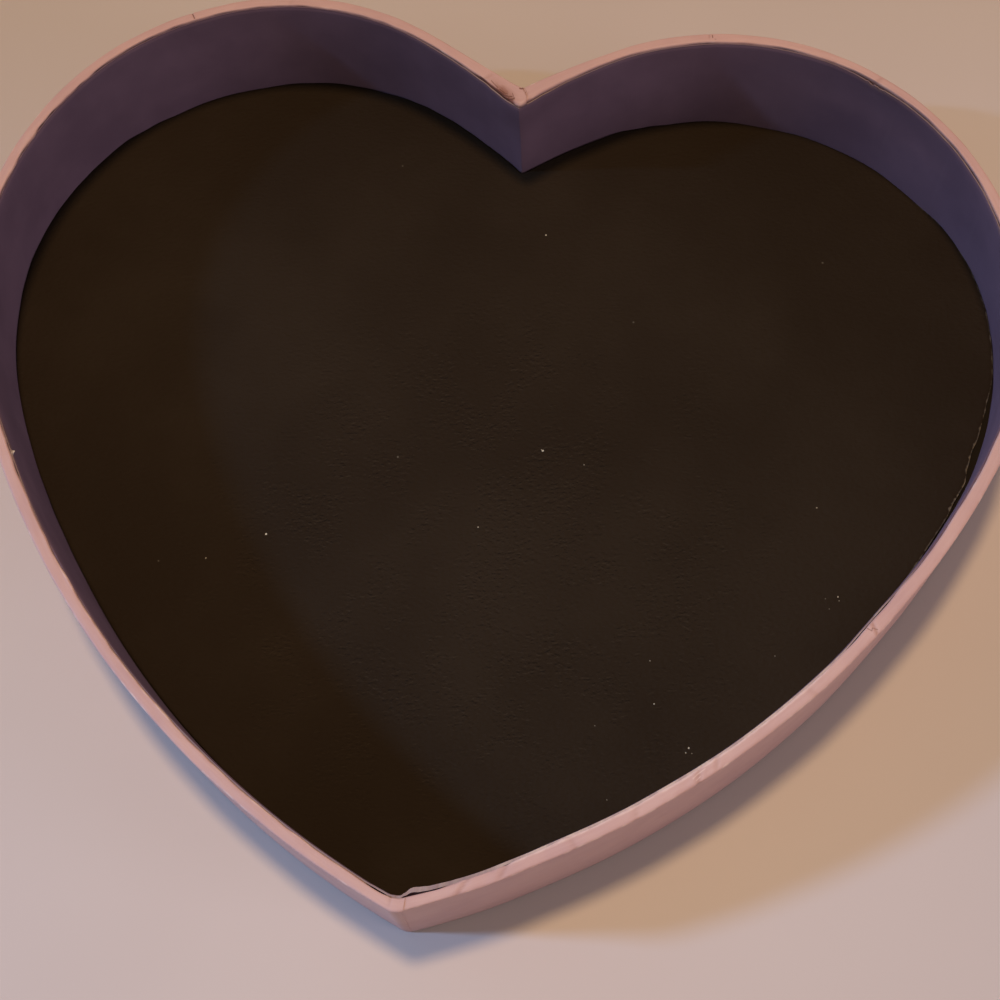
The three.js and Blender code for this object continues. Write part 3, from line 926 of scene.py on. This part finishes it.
liner = {
    "thickness": 0.4,
    # how far the card stands off the paper behind it, and how much thinner it is pressed at its cut edge
    "standOff": 0.15,
    "pressed": 0.15,
    "step": 0.62,
    "closeStep": 0.16,
    # place along the outline, drop of its cut edge below the rim, gap to the paper behind it there,
    # how far its foot is pushed in from the wall, and how pale its cut edge is
    "seat": [
        (0, 0.8, 0.05, 0, 0.4), (8, 0.7, 0.05, 0, 0.25), (14, 0.5, 0.05, 0, 0.15), (21, 0.45, 0.05, 0, 0.12),
        (30, 0.45, 0.05, 1, 0.15), (36, 0.42, 0.04, 1.5, 0.1), (44, 0.4, 0.03, 1.4, 0.1),
        (60, 0.45, 0.05, 1.75, 0.15), (72, 0.5, 0.08, 1.2, 0.1), (84, 0.65, 0.25, 0.8, 0.25),
        (92, 0.7, 0.1, 0.75, 0.3), (101, 0.7, 0.03, 0.95, 0.3), (110, 0.7, 0.03, 0.15, 0.3),
        (124, 0.65, 0.03, 0, 0.3), (128, 0.6, 0.1, 0, 0.2), (135, 0.35, -0.05, 0, 0), (145, 0.3, -0.14, 0, 0),
        (175, 0.3, -0.14, 0, 0), (205, 0.3, -0.14, 0, 0), (215, 0.4, 0, 0, 0.3), (221, 0.35, 0.12, 0, 0.5),
        (227, 0.35, 0.12, 0, 0.5), (234, 0.2, -0.05, 0, 0.7), (241, 0.1, -0.14, 0, 0.95),
        (262, 0.08, -0.14, 0, 0.95), (300, 0.1, -0.14, 0, 0.95), (309, 0.25, -0.08, 0, 0.7),
        (316, 0.35, 0, 0, 0.45), (318, 0.45, 0.05, 0, 0.45), (321.4, 0.45, 0.12, 0, 0.5),
        (322.6, 0.45, 0.15, 0, 0.5), (324.3, 0.45, 0.3, 0, 0.5), (326.2, 0.45, 0.6, 0, 0.5),
        (327.4, 0.45, 0.3, 0, 0.5), (328.3, 0.45, -0.05, 0, 0.45), (329.2, 0.45, -0.25, 0, 0.4),
        (330.1, 0.45, 0, 0, 0.4), (331.6, 0.45, 0.12, 0, 0.4), (333.2, 0.4, 0.08, 0, 0.35),
        (336, 0.3, -0.08, 0, 0.3), (345, 0.25, -0.14, 0, 0.25), (385, 0.25, -0.14, 0, 0.2),
        (398, 0.3, -0.14, 0, 0.1), (428, 0.3, -0.12, 0, 0), (438, 0.45, 0, 0, 0.15), (452, 0.6, 0.1, 0, 0.3),
        (464, 0.45, 0, 0, 0.1), (480, 0.3, -0.05, 0, 0), (500, 0.3, -0.05, 0, 0), (545, 0.3, 0, 0.1, 0),
        (552, 0.3, 0.02, 0.1, 0), (560, 0.4, 0.04, 0.6, 0), (568, 0.45, 0.05, 1.1, 0),
        (578, 0.45, 0.05, 1.1, 0), (590, 0.4, 0.04, 1.35, 0), (600, 0.3, 0.02, 0.85, 0),
        (610, 0.35, 0.03, 0.3, 0), (622, 0.4, 0.05, 0, 0.05), (640, 0.5, 0.08, 0, 0.2),
        (650, 0.6, 0.08, 0, 0.35), (654, 0.8, 0.08, 0, 0.45), (658.42, 0.8, 0.05, 0, 0.45),
    ],
    # place, and how much thicker its cut edge is where it curls over at the tip
    "curl": [
        (0, 0), (302, 0), (310, 0.25), (318, 0.4), (322.6, 0.5), (325, 0.62), (326.6, 0.5), (327.6, 0.25),
        (328.6, 0.12), (333, 0.05), (336, 0), (658.42, 0),
    ],
    # place, width and depth of each torn place in the cut edge, the long frayed runs last
    "tears": [
        (83, 2.4, 0.45), (127.8, 0.9, 0.3), (223.4, 2, 0.2), (267, 1.2, 0.08), (453.4, 1.6, 0.4),
        (520, 14, 0.1), (645, 8, 0.1),
    ],
    "longRuns": 2,
    # dirt along the cut edge: place, reach and strength
    "dirt": [(455, 6, 0.5), (83, 9, 0.25)],
    "fleck": {"at": 451.9, "reach": 0.4, "thickness": 0.65, "rise": 0.15},
}


def linerStrip(name, start, end, seed):
    # Upright card: its height is shared from the base to a cut edge that dips and frays. It stands
    # off the wall by the foot's push at the bottom, eased to the gap at its cut edge.
    fleck = liner["fleck"]
    torn = liner["tears"][: -liner["longRuns"]]
    closer = [row[0] for row in torn] + [half - 7, half]
    base = stations(start, end, liner["step"], liner["closeStep"], closer, 4.0)
    share = np.concatenate([np.linspace(0, 0.9, 14), np.linspace(0.925, 0.985, 7), [0.992, 0.996, 1.0]])
    s = gridOf(base, len(share))
    drop, gap, push, pale = seatAt(base, liner["seat"])
    fray = 0.03 * ripples(base, 0.0, seed, 0.8, 6)
    for place, broad, depth in liner["tears"]:
        fray = fray + depth * near(base, place, broad) * (0.5 + 0.5 * ripples(base, 0.0, seed + 1, 0.6, 2.5))
    foot = linerLow[2]
    top = rimHeight - drop - np.maximum(fray, -0.15)
    height = foot + (top - foot)[:, None] * share[None]
    lean = push[:, None] * (1 - rise(share, 0.0, 0.85))[None]
    lean = lean + (gap[:, None] - liner["standOff"]) * rise(share, 0.9, 1.0)[None]
    lean = lean + 0.05 * between(share, 0.1, 0.4, 0.8, 1.0)[None] * ripples(s, height, seed + 2, 12, 70)
    lean = lean - leanOut(s, height) - narrowing(s, height)
    curl = (seatAt(base, liner["curl"])[0] + np.maximum(-gap, 0))[:, None] * rise(share, 0.9, 0.99)[None]
    crumb = near(s, fleck["at"], fleck["reach"]) * near(share, 0.99, 0.008)[None]
    soft = cornerSoft(s, 0.25, 0.4) + 1.9 * near(s, half, cornerReach) * rise(share, 0.6, 1.0)[None]
    thick = liner["thickness"] - liner["pressed"] * rise(share, 0.97, 1.0)[None] + curl
    thick = thick + fleck["thickness"] * crumb
    lifted = height + fleck["rise"] * crumb
    faces = [sheetFace(s, linerInset + lean + deep, soft, lifted) for deep in (0.0, thick)]
    # where the cut edge's core shows, painted dark as in the rim's shade
    core = near(share, 1.0, 0.003)[None] + 0 * s
    for place, broad, depth in torn:
        core = core + 0.8 * near(s, place, broad * 1.3) * rise(share, 0.965, 0.99)[None]
    brown = sum(strength * near(s, place, reach) for place, reach, strength in liner["dirt"])
    marks = {
        "core": np.clip(core, 0, 1),
        "dirt": brown * near(share, 0.985, 0.012)[None],
        "pale": pale[:, None] + 0 * s,
        "crumb": np.clip(1.6 * crumb, 0, 1),
        "lay": np.dstack([s, height, 0 * s]),
    }
    return ribbon(name, *faces, {key: (values, values) for key, values in marks.items()})


linerRight = linerStrip("linerRight", 0.01, half - 0.01, 31)
linerLeft = linerStrip("linerLeft", half + 0.01, whole - 0.01, 41)

# Floor panel

panel = {
    # rings of points as shares of the way from the middle to the edge, closer near the edge
    "shares": np.concatenate([np.linspace(0.02, 0.9, 40), np.linspace(0.91, 0.984, 9), [0.99, 0.995, 0.998, 1]]),
    # place along the outline, and how much more is trimmed off there
    "trim": [
        (0, 0), (148, 0), (158, 0.9), (162, 1.2), (165.6, 1.15), (169, 1.5), (173, 1.15), (177, 0.35),
        (182, 0.45), (187, 0.1), (196, 0), (658.42, 0),
    ],
    # where along the outline the facing's worn run rises and fades
    "worn": (152.0, 164.0, 184.0, 190.0),
    # places round which its points lie closer
    "closer": [160.0, 168.0, 176.0, 184.0],
    "linerClearance": 0.12,
    "boardShort": 0.15,
}


def panelEdge(part):
    # The panel's cut edge: the floor's inset plus a hand-cut waver, more trimmed off at the right, and
    # never past the liner's foot. At the right the facing has worn back from the board in short runs,
    # and elsewhere it covers it.
    s = stations(0.0, whole, 0.9, 0.2, panel["closer"], 9.0)[:-1]
    worn = between(s, *panel["worn"])
    inset = panelInset - 0.1 + 0.1 * ripples(s, 0.0, 51, 20, 160) + seatAt(s, panel["trim"])[0]
    foot = linerInset + liner["thickness"] + seatAt(s, liner["seat"])[2]
    inset = np.maximum(inset, foot + panel["linerClearance"])
    if part == "facing":
        inset = inset + worn * (0.02 + 0.17 * np.clip(ripples(s, 0.0, 52, 0.9, 8) + 0.35, 0, 1.3))
    else:
        inset = inset + panel["boardShort"] * (1 - worn)
    return plateEdge(s, inset, 0.5, 0.8)


def flat(height):
    return lambda plan, share: np.full(plan.shape[:2], float(height)) + 0 * share


def facingTop(plan, share):
    # nearly flat: slow hollows of a twentieth of a millimetre, short side to side wrinkles, and a
    # cut edge that rolls down
    x, y = plan[..., 0], plan[..., 1]
    relief = 0.05 * ripples(x, y, 61, 25, 90) + 0.012 * ripples(x * 0.35, y * 2.2, 62, 3, 9)
    return facingHigh[2] - 0.06 + relief - 0.12 * rise(share, 0.996, 1.0)


def facingWear(plan, share):
    # on the cut edge at the right
    return near(share, 1.0, 0.004) * rise(plan[..., 0], 84, 92)


facing = plate("floorFacing", panelEdge("facing"), panel["shares"], facingTop, flat(facingLow[2]),
               {"wear": facingWear})
floorBoard = plate("floorBoard", panelEdge("board"), panel["shares"][::2], flat(floorHigh[2]),
                   flat(floorLow[2]), {})

# Base paper

basePaper = {
    "thickness": 0.2,
    "step": 0.9,
    "sag": 0.02,
    # the notched paper turned in above it: its depth, the distance between notches, their distance
    # from the middle, and from which share of the way out they show
    "pleatDepth": 0.1,
    "pleatGap": 7.5,
    "pleatRadius": 70.0,
    "pleatFrom": (0.9, 0.93),
    "shares": np.concatenate([np.linspace(0.02, 0.86, 40), np.linspace(0.87, 1.0, 20)]),
}


def basePaperLow(plan, share):
    # pressed flat, with the notched edge that is turned in above it showing through as shallow steps
    x, y = plan[..., 0], plan[..., 1]
    notches = np.arctan2(x, y - plateCentre[1]) * basePaper["pleatRadius"] / basePaper["pleatGap"]
    step = np.mod(notches + 0.3 * ripples(x, y, 73, 30, 90), 1.0)
    sag = np.clip(0.5 + 0.5 * ripples(x, y, 72, 20, 80), 0, 1.5)
    pleat = rise(share, *basePaper["pleatFrom"]) * step * (1 - rise(step, 0.85, 1.0))
    return basePaper["sag"] * sag + basePaper["pleatDepth"] * pleat


def edgeWear(plan, share):
    return 0.4 * near(share, 1.0, 0.01) + 0 * plan[..., 0]


around = stations(0.0, whole, basePaper["step"], 0.3, corners, 3.0)[:-1]
coverEdge = plateEdge(around, coverInset + 0.05 * ripples(around, 0.0, 71, 6, 60), *boards["soft"])
baseSheet = plate("basePaper", coverEdge, basePaper["shares"], flat(basePaper["thickness"]), basePaperLow,
                  {"wear": edgeWear})

# Base board, which stands clear of the wall boards by its fit

base = {"step": 1.2, "fit": 0.1, "shares": np.linspace(0.05, 1.0, 39)}


# painted shade: the base board's rim is darkened where it shows in the gap round the floor panel, as if in
# shadow
def gapShadeAtEdge(plan, share):
    return rise(share, 0.9, 0.95) + 0 * plan[..., 0]


around = stations(0.0, whole, base["step"], 0.3, corners, 3.0)[:-1]
baseEdge = plateEdge(around, boardInset + boards["thickness"] + base["fit"] + 0 * around, *boards["soft"])
baseBoard = plate("baseBoard", baseEdge, base["shares"], flat(baseHigh[2]), flat(baseLow[2]),
                  {"gapShade": gapShadeAtEdge})

# What each piece is made of and stands for

for piece, finish, slot, nodesReplaced in (
    (coveringLeft, pinkFinish, "pink_paper", ["outer_wrap_left"]),
    (coveringRight, pinkFinish, "pink_paper", ["outer_wrap_right"]),
    (linerLeft, mauveFinish, "mauve_card", ["liner_left"]),
    (linerRight, mauveFinish, "mauve_card", ["liner_right"]),
    (facing, darkFinish, "dark_facing", ["floor_facing"]),
    (floorBoard, brownFinish, "brown_board", ["floor_board"]),
    (baseSheet, pinkFinish, "pink_paper", ["base_cover"]),
    (boardRight, greyFinish, "grey_board", ["wall_board_right"]),
    (boardLeft, greyFinish, "grey_board", ["wall_board_left"]),
    (stayCleft, stayFinish, "stay_paper", ["cleft_stay"]),
    (stayTip, stayFinish, "stay_paper", ["tip_stay"]),
    (baseBoard, greyFinish, "grey_board", ["base_board"]),
):
    piece.data.materials.append(finish)
    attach(piece, "root")
    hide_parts(*nodesReplaced)

print("pieces ride on the frame")

# Table, light and camera

stageSet = {
    "tableSize": 3.0,
    "worldTint": (0.96, 0.89, 0.82, 1.0),
    "world": 0.3,
}

# the window stands low on the left, and its soft beam ends across the back of the tray
lamps = {
    "window": {
        "kind": "SPOT", "place": (-2.516, -0.376, 1.59), "aim": (0.0, -0.5, 0.0),
        "settings": {"spot_size": math.radians(21.6), "spot_blend": 0.07, "shadow_soft_size": 0.14,
                     "energy": 320.0, "color": (0.28, 0.53, 0.97)},
    },
    "ceiling": {
        "kind": "AREA", "place": (-0.14, 0.34, 2.4), "aim": (0.0, 0.0, 0.0),
        "settings": {"shape": "DISK", "size": 0.27, "energy": 30.0, "color": (1.0, 0.7, 0.38)},
    },
    "fill": {
        "kind": "AREA", "place": (1.2, -0.3, 0.42), "aim": (0.0, 0.0, 0.0),
        "settings": {"shape": "DISK", "size": 0.5, "energy": 4.0, "color": (0.76, 0.72, 0.9)},
    },
}


def table():
    size = stageSet["tableSize"]
    mesh = bpy.data.meshes.new("table")
    points = [(-size, -size, 0), (size, -size, 0), (size, size, 0), (-size, size, 0)]
    mesh.from_pydata(points, [], [(0, 1, 2, 3)])
    mesh.materials.append(tableTop())
    top = bpy.data.objects.new("table", mesh)
    bpy.context.scene.collection.objects.link(top)


def lampAt(name, kind, place, aim, settings):
    # turned so that the lamp's own -Z points at the aim
    lamp = bpy.data.lights.new(name, kind)
    for key, value in settings.items():
        setattr(lamp, key, value)
    holder = bpy.data.objects.new(name, lamp)
    holder.location = place
    way = np.array(aim) - np.array(holder.location)
    holder.rotation_euler = (math.atan2(math.hypot(way[0], way[1]), -way[2]), 0, math.atan2(-way[0], way[1]))
    bpy.context.scene.collection.objects.link(holder)


def world():
    scene = bpy.context.scene
    scene.world = bpy.data.worlds.new("studio")
    scene.world.use_nodes = True
    background = scene.world.node_tree.nodes["Background"]
    background.inputs["Color"].default_value = stageSet["worldTint"]
    background.inputs["Strength"].default_value = stageSet["world"]


table()
world()
for name, values in lamps.items():
    lampAt(name, **values)

view = {
    "place": (0.03521, -0.13131, 0.33454),
    "turn": (21.352, 2.731, 7.764),
    "lens": 60.37,
    "sensor": 36.0,
    "shift": (0.0192, -0.0080),
    "clipStart": 0.01,
}


def camera():
    data = bpy.data.cameras.new("camera")
    data.lens = view["lens"]
    data.sensor_width = view["sensor"]
    data.shift_x, data.shift_y = view["shift"]
    data.clip_start = view["clipStart"]
    holder = bpy.data.objects.new("camera", data)
    holder.location = view["place"]
    holder.rotation_euler = [math.radians(angle) for angle in view["turn"]]
    bpy.context.scene.collection.objects.link(holder)
    bpy.context.scene.camera = holder


camera()
bpy.context.scene.view_settings.view_transform = "Standard"
print("stage ready")
